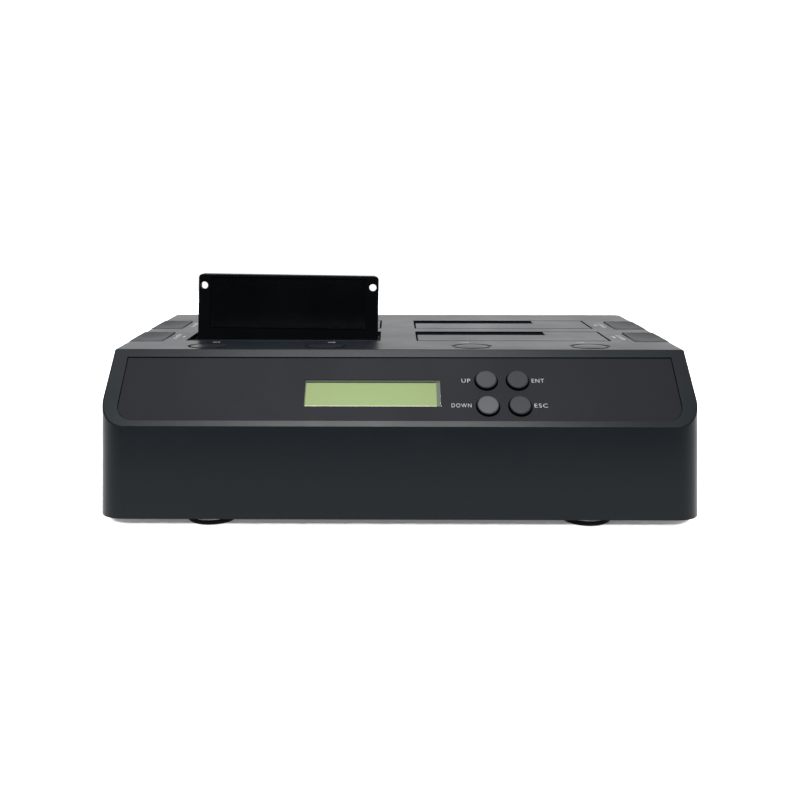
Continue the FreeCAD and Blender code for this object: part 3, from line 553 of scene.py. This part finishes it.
# contacts in the rear sockets
bm = bmesh.new()
for i in range(4):
    x = 57.9 + i * 1.4
    add_box(bm, x - 0.3, x + 0.3, 74.0, 86.2, 21.6, 21.85)
for i in range(5):
    x = 57.2 + i * 1.4
    add_box(bm, x - 0.3, x + 0.3, 74.0, 86.2, 22.95, 23.2)
for i in range(7):
    x = 33.2 + i * 1.27
    add_box(bm, x - 0.3, x + 0.3, 75.0, 86.2, 19.4, 19.65)
finish_mesh("rear_contacts", bm, "gold", "housing")


# ------------------------------------------------------------------ camera
cam = bpy.data.cameras.new("camera")
cam.lens = 45.0
cam.sensor_width = 36.0
cam.shift_x = (400.0 - 383.50) / 800.0
cam.shift_y = (193.78 - 400.0) / 800.0
cam.clip_start, cam.clip_end = 0.01, 50.0
cam_ob = bpy.data.objects.new("camera", cam)
cam_ob.location = (-0.00293, -0.56640, 0.16228)
cam_ob.rotation_euler = (math.radians(90), 0, 0.0095)
bpy.context.scene.collection.objects.link(cam_ob)
bpy.context.scene.camera = cam_ob

# ------------------------------------------------------------------ floor and light
m, nt, sh = new_material("studio_floor")
sh.inputs["Base Color"].default_value = (0.70, 0.70, 0.70, 1)
sh.inputs["Roughness"].default_value = 1.0
sh.inputs["Specular IOR Level"].default_value = 0.0
sh.inputs["Emission Color"].default_value = (1, 1, 1, 1)
sh.inputs["Emission Strength"].default_value = 0.16
bm = bmesh.new()
add_box(bm, -1100, 1100, -245, 1100, -4, 0)
me = bpy.data.meshes.new("floor")
bmesh.ops.recalc_face_normals(bm, faces=bm.faces)
bm.to_mesh(me)
bm.free()
me.materials.append(m)
floor = bpy.data.objects.new("floor", me)
bpy.context.scene.collection.objects.link(floor)

world = bpy.data.worlds.new("studio")
bpy.context.scene.world = world
world.use_nodes = True
nt = world.node_tree
nt.nodes.clear()
out = nt.nodes.new("ShaderNodeOutputWorld")
seen = nt.nodes.new("ShaderNodeBackground")
seen.inputs["Color"].default_value = (1, 1, 1, 1)
seen.inputs["Strength"].default_value = 1.05
lit = nt.nodes.new("ShaderNodeBackground")
tc = nt.nodes.new("ShaderNodeTexCoord")
sep = nt.nodes.new("ShaderNodeSeparateXYZ")
nt.links.new(tc.outputs["Generated"], sep.inputs["Vector"])
# dark in front of the object, bright behind and beside it
back = nt.nodes.new("ShaderNodeMapRange")
back.interpolation_type = "SMOOTHSTEP"
back.inputs["From Min"].default_value = -0.75
back.inputs["From Max"].default_value = 0.45
back.inputs["To Min"].default_value = 0.02
back.inputs["To Max"].default_value = 1.70
nt.links.new(sep.outputs["Y"], back.inputs["Value"])
nt.links.new(back.outputs["Result"], lit.inputs["Strength"])
lp = nt.nodes.new("ShaderNodeLightPath")
mix = nt.nodes.new("ShaderNodeMixShader")
nt.links.new(lp.outputs["Is Camera Ray"], mix.inputs["Fac"])
nt.links.new(lit.outputs["Background"], mix.inputs[1])
nt.links.new(seen.outputs["Background"], mix.inputs[2])
nt.links.new(mix.outputs["Shader"], out.inputs["Surface"])


def area(name, loc, target, size, power, color=(1, 1, 1)):
    d = bpy.data.lights.new(name, "AREA")
    d.shape = "RECTANGLE"
    d.size, d.size_y = size
    d.energy = power
    d.color = color
    o = bpy.data.objects.new(name, d)
    o.location = loc
    o.rotation_euler = (Vector(target) - Vector(loc)).to_track_quat("-Z", "Y").to_euler()
    o.visible_camera = False
    bpy.context.scene.collection.objects.link(o)
    return o


area("top_box", (-0.045, -0.45, 1.04), (-0.02, -0.09, 0.05), (0.42, 0.46), 31.5)


def sun(name, azimuth, elevation, strength, angle):
    """Distant light from a direction: azimuth 0 is straight in front of the object, elevation above the floor."""
    d = bpy.data.lights.new(name, "SUN")
    d.energy = strength
    d.angle = math.radians(angle)
    o = bpy.data.objects.new(name, d)
    az, el = math.radians(azimuth), math.radians(elevation)
    come = Vector((math.sin(az) * math.cos(el), -math.cos(az) * math.cos(el), math.sin(el)))
    o.rotation_euler = (-come).to_track_quat("-Z", "Y").to_euler()
    bpy.context.scene.collection.objects.link(o)
    return o


key_sun = sun("front_fill", 0.0, 38.0, 4.6, 16.0)
floor_sun = sun("floor_fill", 0.0, 25.0, 9.0, 5.0)

# the low light only washes the floor, the high one only the object
only = bpy.data.collections.new("floor_light_set")
only.objects.link(floor)
floor_sun.light_linking.receiver_collection = only
rest = bpy.data.collections.new("object_light_set")
rest.objects.link(floor)
key_sun.light_linking.receiver_collection = rest
rest.collection_objects[0].light_linking.link_state = "EXCLUDE"

sc = bpy.context.scene
sc.view_settings.view_transform = "Standard"
sc.view_settings.look = "None"
sc.view_settings.exposure = 0.0
